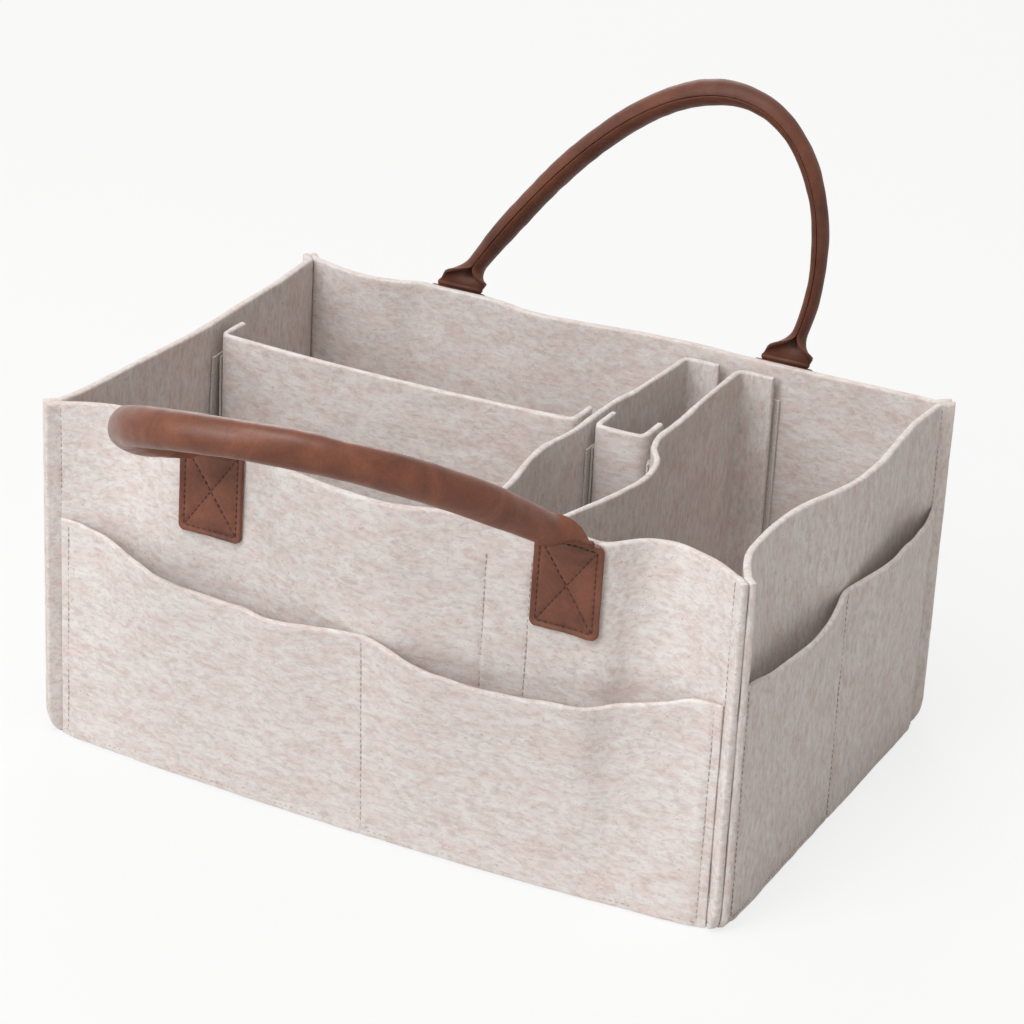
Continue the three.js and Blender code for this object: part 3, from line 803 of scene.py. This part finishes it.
def add_divider(node, path, look, seed):
    low, high = box(node)
    plan = along_path(rounded_path(path, FOLD_RADIUS), FELT_CELL, FELT_EDGE)
    z = edged(low[2], high[2], FELT_CELL, FELT_EDGE)
    grid = np.empty((len(z), len(plan), 3))
    grid[..., :2] = plan[None]
    grid[..., 2] = z[:, None]
    lifts = [felt_lift(grid, seed + more) for more in (0, DIVIDER_FACE_SEED)]
    points, faces = sheet_mesh(grid, DIVIDER_FELT, FELT_EDGE, *lifts)
    piece = add_mesh(f"{node}_felt", points, faces, look, BODY_OF[node])
    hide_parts(node)


# Tapes
def add_wall_tape(node, side):
    """A loop tape that follows the inner face of a wall."""
    low, high = side.extent(node)
    s = edged(low[0], high[0], TAPE_CELL, TAPE_EDGE)[None, :]
    z = edged(low[2], high[2], TAPE_CELL, TAPE_EDGE)[:, None]
    out = side.outer(s, z) - WALL_FELT - FIT - TAPE_FELT / 2
    grid = side.world(s + 0 * z, out, z)
    tape_piece(node, grid)


def add_flat_tape(node):
    """A straight tape on a divider, thin along x or y."""
    low, high = box(node)
    size = high - low
    thin = int(np.argmin(size))
    wide = 1 - thin
    u = edged(low[wide], high[wide], TAPE_CELL, TAPE_EDGE)
    z = edged(low[2], high[2], TAPE_CELL, TAPE_EDGE)
    grid = np.empty((len(z), len(u), 3))
    grid[..., thin] = (low[thin] + high[thin]) / 2
    grid[..., wide] = u[None]
    grid[..., 2] = z[:, None]
    tape_piece(node, grid)


def tape_piece(node, grid):
    points, faces = sheet_mesh(grid, TAPE_FELT, TAPE_EDGE)
    piece = add_mesh(f"{node}_woven", points, faces, TAPE, BODY_OF[node])
    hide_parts(node)


# Handles
def bezier(points, t):
    t = np.asarray(t)[:, None]
    a, b, c, d = points
    return a * (1 - t) ** 3 + 3 * b * t * (1 - t) ** 2 + 3 * c * t * t * (1 - t) + d * t ** 3


class Grip:
    """A handle worked out upright about its hinge line, then leaned and turned into place."""

    def __init__(self, name, reach, shares, twist, lean, joint):
        self.name = name
        self.side = side = SIDES[name]
        self.twist = twist
        self.lean = lean
        hinge = np.array([row["pos_m"] for row in frame["joints"] if row["name"] == joint][0]) / MM
        self.hinge_out = side.local(hinge[None])[0, 1]
        self.hinge_z = hinge[2]
        patches = [side.local(corners(f"{name}_patch_{k}"))[:, 0] for k in (1, 2)]
        left, right = ((s.min() + s.max()) / 2 for s in patches)
        self.shift = (left + right) / 2
        self.root_x = (right - left) / 2
        left_x, left_up, right_x, right_up = reach
        control = np.array([
            (-self.root_x, 0, 0), (left_x, 0, left_up), (right_x, 0, right_up), (self.root_x, 0, 0),
        ], float)
        fine = bezier(control, np.linspace(0, 1, GRIP_PATH_POINTS))
        run = run_along(fine)
        self.length = run[-1]
        self.path = [smooth_line(run, fine[:, k]) for k in range(3)]
        self.share = follow(shares)
        self.radius = math.sqrt(GRIP_DEPTH * GRIP_BREADTH) / 2

    def at(self, run):
        return np.stack([line(run) for line in self.path], axis=1)

    def frames(self, run):
        """Middle, way across and distance from the nearer root of the sections at run."""
        centre = self.at(run)
        root = np.minimum(run, self.length - run)
        ahead = self.at(np.minimum(run + GRIP_NEAR, self.length))
        behind = self.at(np.maximum(run - GRIP_NEAR, 0))
        tangent = unit(ahead - behind)
        upright = np.zeros_like(tangent)
        upright[:, 2] = np.where(run < self.length / 2, 1, -1)
        turned = smoothstep(root, 0, GRIP_UPRIGHT_LENGTH)[:, None]
        along = unit(lerp(upright, tangent, turned))
        across = np.stack([along[:, 2], 0 * along[:, 0], -along[:, 0]], axis=1)
        centre[:, 1] = centre[:, 2] * math.sin(self.twist) * (centre[:, 0] / self.root_x)
        return centre, across, root

    def strap(self, run, q, drop=0):
        """Points on the middle of the leather, q from edge -1 to edge 1."""
        centre, across, root = self.frames(run)
        curl = smoothstep(root, GRIP_CURL_START, GRIP_CURL_END)[:, None]
        q = np.asarray(q)[None, :]
        radius = (self.radius * self.share(run / self.length) - GRIP_LEATHER / 2)[:, None]
        half_strap = math.pi * radius - GRIP_SEAM_GAP / 2
        half = lerp(ROOT_WIDTH / 2, half_strap, curl)
        turn = curl * q * half_strap / radius
        curled = np.abs(turn) > NO_TURN
        safe = np.where(curled, turn, 1)
        chord = np.where(curled, np.sin(safe) / safe, 1)
        depth = np.where(curled, (1 - np.cos(safe)) / safe, 0)
        wide = lerp(1, GRIP_DEPTH / 2 / self.radius, curl)
        deep = lerp(1, GRIP_BREADTH / 2 / self.radius, curl)
        bulge = np.sin(curl * math.pi / 2) * radius
        points = centre[:, None, :] + across[:, None, :] * (wide * half * q * chord)[..., None]
        points[..., 1] += deep * (half * q * depth - bulge)
        points[..., 2] -= drop
        return points

    def world(self, points):
        """From the upright handle to its place on the caddy."""
        x, y, z = np.moveaxis(points, -1, 0)
        leaned_y = y * math.cos(self.lean) - z * math.sin(self.lean)
        leaned_z = y * math.sin(self.lean) + z * math.cos(self.lean)
        return self.side.world(x + self.shift, self.hinge_out - leaned_y, self.hinge_z + leaned_z)


def add_grip(grip, look, seed):
    """The sleeve: one strip with a hem at each root, rolled round along the handle."""
    run = even(0, grip.length, GRIP_STEP)
    q = edged(-1, 1, 2 / GRIP_AROUND, 2 * SLEEVE_EDGE / GRIP_AROUND)
    hem = grip.strap(run[[0, -1]], q, HINGE_HEM)
    grid = grip.world(np.concatenate([hem[:1], grip.strap(run, q), hem[1:]]))
    root = np.minimum(run, grip.length - run)
    root = np.concatenate([root[:1], root, root[-1:]])[:, None]
    thick = lerp(HINGE_THICKNESS, GRIP_LEATHER, np.minimum(1, root / GRIP_CURL_END))
    edge = lerp(HINGE_HEM, GRIP_SEAM_EDGE, smoothstep(root, GRIP_CURL_START, GRIP_CURL_END))
    bent = smoothstep(root, GRIP_CURL_END, 2 * GRIP_CURL_END)
    lift = lerp(-ROOT_EASE, unevenness(grid, GRIP_WAVES, seed), bent)
    points, faces = sheet_mesh(grid, thick, edge, lift, 0)
    node = f"{grip.name}_grip"
    piece = add_mesh(f"{node}_leather", points, faces, look, BODY_OF[node])
    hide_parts(node)


def add_tube(name, rings, ends, look, body):
    """A closed tube through rings of points, with a point at each end."""
    count, sides = rings.shape[:2]
    index = np.arange(count * sides).reshape(count, sides)
    after = np.roll(index, -1, axis=1)
    quads = np.stack([index[:-1], after[:-1], after[1:], index[1:]], axis=-1).reshape(-1, 4).tolist()
    middle = count * sides
    first = [[int(b), int(a), middle] for a, b in zip(index[0], after[0])]
    last = [[int(a), int(b), middle + 1] for a, b in zip(index[-1], after[-1])]
    points = np.concatenate([rings.reshape(-1, 3), ends])
    return add_mesh(name, points, quads + first + last, look, body)


def add_cord(grip):
    """The round filler inside the closed part of the sleeve."""
    inner = GRIP_CURL_END + CORD_SETBACK
    run = even(inner, grip.length - inner, GRIP_STEP * 2)
    centre, across, _ = grip.frames(run)
    size = grip.share(run / grip.length)[:, None]
    wide = size * GRIP_DEPTH / 2 - GRIP_LEATHER - CORD_INSET
    deep = size * GRIP_BREADTH / 2 - GRIP_LEATHER - CORD_INSET
    turns = (2 * math.pi * np.arange(CORD_SIDES) / CORD_SIDES)[None, :]
    ring = centre[:, None, :] + across[:, None, :] * (wide * np.sin(turns))[..., None]
    ring[..., 1] -= deep * np.cos(turns)
    node = f"{grip.name}_grip_cord"
    ends = grip.world(centre[[0, -1]])
    piece = add_tube(f"{grip.name}_grip_filler", grip.world(ring), ends, CORD, BODY_OF[node])
    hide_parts(node)


def add_root_folds(grip, look):
    """The fold of leather at the foot of each root, round about the hinge line."""
    half = ROOT_WIDTH / 2 - ROOT_FOLD_END
    along = np.array([-half - ROOT_FOLD_END, -half, 0, half, half + ROOT_FOLD_END])
    sizes = np.array([ROOT_FOLD_END_SHARE, 1, 1, 1, ROOT_FOLD_END_SHARE]) * ROOT_FOLD_RADIUS
    turns = 2 * math.pi * np.arange(CORD_SIDES) / CORD_SIDES
    for number, middle in enumerate((-grip.root_x, grip.root_x)):
        rings = np.empty((len(along), CORD_SIDES, 3))
        rings[..., 0] = (middle + along)[:, None]
        rings[..., 1] = sizes[:, None] * np.cos(turns)
        rings[..., 2] = sizes[:, None] * np.sin(turns)
        ends = np.array([(middle + x, 0, 0) for x in along[[0, -1]]])
        name = f"{grip.name}_grip_fold_{number + 1}"
        body = BODY_OF[f"{grip.name}_grip"]
        add_tube(name, grip.world(rings), grip.world(ends), look, body)


# Patches
def add_patch(grip, number, look, seed):
    side = grip.side
    node = f"{grip.name}_patch_{number}"
    low, high = side.extent(node)
    high[2] -= PATCH_EASE
    middle = (low[0] + high[0]) / 2
    half = (high[0] - low[0]) / 2
    share = edged(-1, 1, PATCH_CELL / half, PATCH_EDGE / half)[None, :]
    z = edged(low[2], high[2], PATCH_CELL, PATCH_EDGE)[:, None]
    near = np.minimum(z - low[2], high[2] - z)
    cut = np.clip(PATCH_CORNER - near, 0, PATCH_CORNER)
    width = half - (PATCH_CORNER - np.sqrt(PATCH_CORNER ** 2 - cut ** 2))
    s = middle + share * width
    grid = side.world(s, side.outer(s, z) + FIT + PATCH_THICKNESS / 2, z + 0 * s)
    rows, pulled = patch_stitches(side, middle, half, low[2], high[2], s, z)
    lift = -np.abs(ripples(grid, *PATCH_WAVE, seed)) - pulled * PATCH_STITCH_SUNK
    points, faces = sheet_mesh(grid, PATCH_THICKNESS, PATCH_EDGE, lift, 0)
    piece = add_mesh(f"{node}_leather", points, faces, look, BODY_OF[node])
    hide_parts(node)
    add_threads(f"{node}_threads", rows, LEATHER_THREAD, BODY_OF[node])


def patch_stitches(side, middle, half, low, high, s, z):
    """A border line all round and a cross inside it."""
    inset = PATCH_STITCH_INSET
    left, right = middle - half + inset, middle + half - inset
    bottom, top = low + inset, high - inset
    ends = [
        (left, bottom, left, top), (right, bottom, right, top), (left, bottom, right, bottom),
        (left, top, right, top), (left, bottom, right, top), (left, top, right, bottom),
    ]
    rows = []
    pulled = np.zeros(np.broadcast(s, z).shape)
    for s0, z0, s1, z1 in ends:
        t = np.linspace(0, 1, STITCH_LINE_POINTS)
        depth = FIT + PATCH_THICKNESS + THREAD / 2 - PATCH_STITCH_SUNK
        rows.append(stitched(side, lerp(s0, s1, t), lerp(z0, z1, t), depth))
        run = math.hypot(s1 - s0, z1 - z0)
        along = ((s - s0) * (s1 - s0) + (z - z0) * (z1 - z0)) / run
        off = np.abs((s - s0) * (z1 - z0) - (z - z0) * (s1 - s0)) / run
        beyond = np.maximum(0, np.maximum(-along, along - run))
        pulled = np.maximum(pulled, np.exp(-(np.hypot(off, beyond) / PATCH_GROOVE) ** 2))
    return rows, pulled


# Making the pieces
add_floor("base_panel", FELT_ALONG_X)
add_floor("floor_lining", FELT_ALONG_X)
LOOK_OF = {"front": FELT_ALONG_X, "back": FELT_ALONG_X, "left": FELT_ALONG_Z, "right": FELT_ALONG_Z}
for number, (name, side) in enumerate(SIDES.items()):
    add_wall(side, LOOK_OF[name], SIDE_SEED_STEP * number + WALL_SEED)
    add_pocket(side, LOOK_OF[name], SIDE_SEED_STEP * number + POCKET_SEED)
    add_side_threads(side)

DIVIDERS = (
    ("long_divider", span_path, FELT_ALONG_X),
    ("short_divider", span_path, FELT_ALONG_X),
    ("left_cross_divider", cross_path, FELT_ALONG_Z),
    ("right_cross_divider", cross_path, FELT_ALONG_Z),
)
for number, (node, path_of, look) in enumerate(DIVIDERS):
    add_divider(node, path_of(node), look, DIVIDER_SEED + DIVIDER_SEED_STEP * number)

for node in sorted(frame["nodes"]):
    if "_tape_" in node:
        if node in WALL_TAPES:
            add_wall_tape(node, SIDES[WALL_TAPES[node]])
        else:
            add_flat_tape(node)

GRIPS = [
    Grip(
        "front", FRONT_GRIP_REACH, FRONT_GRIP_SHARES, FRONT_GRIP_TWIST, FRONT_GRIP_LEAN,
        "front_handle_swing",
    ),
    Grip("back", REAR_GRIP_REACH, REAR_GRIP_SHARES, 0, 0, "rear_handle_swing"),
]
# The back handle and its patches take the leather copy with painted shade in its colours.
for number, (grip, look) in enumerate(zip(GRIPS, (LEATHER, REAR_SHADED_LEATHER))):
    add_grip(grip, look, GRIP_SEED + GRIP_SEED_STEP * number)
    add_cord(grip)
    add_root_folds(grip, look)
    for patch in (1, 2):
        add_patch(grip, patch, look, PATCH_SEED + GRIP_SEED_STEP * number + patch)


# Studio
def add_camera():
    data = bpy.data.cameras.new("camera")
    data.sensor_width = SENSOR
    data.lens = FOCAL_PIXELS * SENSOR / IMAGE_PIXELS
    data.clip_start = CLIP_START * MM
    camera = bpy.data.objects.new("camera", data)
    right = Vector((math.cos(CAMERA_AZIMUTH), math.sin(CAMERA_AZIMUTH), 0))
    level_share = math.cos(CAMERA_ELEVATION)
    back = Vector((
        math.sin(CAMERA_AZIMUTH) * level_share,
        -math.cos(CAMERA_AZIMUTH) * level_share,
        math.sin(CAMERA_ELEVATION),
    ))
    up = back.cross(right)
    level = right * math.cos(CAMERA_ROLL) + up * math.sin(CAMERA_ROLL)
    rise = up * math.cos(CAMERA_ROLL) - right * math.sin(CAMERA_ROLL)
    place = (Vector(CAMERA_TARGET) + back * CAMERA_DISTANCE) * MM
    camera.matrix_world = Matrix((
        (level.x, rise.x, back.x, place.x),
        (level.y, rise.y, back.y, place.y),
        (level.z, rise.z, back.z, place.z),
        (0, 0, 0, 1),
    ))
    bpy.context.scene.collection.objects.link(camera)
    bpy.context.scene.camera = camera


def add_lamp(name, place, size, power, colour=WHITE):
    """A round lamp aimed at the caddy, placed and sized in metres, its power in watts."""
    data = bpy.data.lights.new(name, "AREA")
    data.shape = "DISK"
    data.size = size
    data.energy = power
    data.color = colour
    lamp = bpy.data.objects.new(name, data)
    lamp.location = place
    aim = Vector(LAMP_TARGET) - Vector(place)
    lamp.rotation_euler = aim.to_track_quat("-Z", "Y").to_euler()
    bpy.context.scene.collection.objects.link(lamp)


def seen_directly(tree):
    """One for the camera's rays and for mirrored and clear ones, and zero for the rest."""
    path = node_of(tree, "ShaderNodeLightPath")
    seen = path.outputs["Is Camera Ray"]
    for kind in ("Is Glossy Ray", "Is Transmission Ray"):
        either = node_of(tree, "ShaderNodeMath", operation="MAXIMUM")
        tree.links.new(seen, either.inputs[0])
        tree.links.new(path.outputs[kind], either.inputs[1])
        seen = either.outputs["Value"]
    return seen


def white_when_seen(tree, plain, share, output):
    """The plain shader, with a share of white added where it is seen directly."""
    white = node_of(tree, "ShaderNodeEmission")
    white.inputs["Color"].default_value = (*WHITE, 1)
    white.inputs["Strength"].default_value = 1.0
    part = node_of(tree, "ShaderNodeMath", operation="MULTIPLY")
    tree.links.new(seen_directly(tree), part.inputs[0])
    part.inputs[1].default_value = share
    choose = node_of(tree, "ShaderNodeMixShader")
    tree.links.new(part.outputs["Value"], choose.inputs["Fac"])
    tree.links.new(plain, choose.inputs[1])
    tree.links.new(white.outputs["Emission"], choose.inputs[2])
    tree.links.new(choose.outputs["Shader"], output)


def add_floor_plane():
    """A pale floor that takes the shadow and is lifted towards white where it is seen."""
    ends = ((-1, -1), (1, -1), (1, 1), (-1, 1))
    mesh = bpy.data.meshes.new("studio_floor")
    mesh.from_pydata([(x * STUDIO_HALF, y * STUDIO_HALF, 0) for x, y in ends], [], [(0, 1, 2, 3)])
    look, tree, shader = new_look("studio_floor", Roughness=1.0, Specular_IOR_Level=0.0)
    shader.inputs["Base Color"].default_value = (STUDIO_GREY, STUDIO_GREY, STUDIO_GREY, 1)
    output = tree.nodes["Material Output"].inputs["Surface"]
    white_when_seen(tree, shader.outputs["BSDF"], STUDIO_WHITE_SHARE, output)
    mesh.materials.append(look)
    floor = bpy.data.objects.new("studio_floor", mesh)
    floor.location.z = -STUDIO_DROP
    bpy.context.scene.collection.objects.link(floor)


def add_world():
    world = bpy.data.worlds.new("studio")
    world.use_nodes = True
    tree = world.node_tree
    soft = tree.nodes["Background"]
    soft.inputs["Color"].default_value = (*SKY_COLOUR, 1)
    soft.inputs["Strength"].default_value = SKY_STRENGTH
    output = tree.nodes["World Output"].inputs["Surface"]
    white_when_seen(tree, soft.outputs["Background"], 1.0, output)
    bpy.context.scene.world = world


add_camera()
add_floor_plane()
add_world()
add_lamp("window_light", (-1.6, -3.4, 2.6), 3.6, 102, (0.965, 0.985, 1.0))
add_lamp("top_light", (0.1, -0.8, 2.6), 1.6, 34)
add_lamp("glint_light", (-0.6, -2.2, 2.1), 0.35, 7)
add_lamp("back_light", (-1.8, 3.2, 1.8), 2.4, 46)
bpy.context.scene.view_settings.view_transform = "Standard"
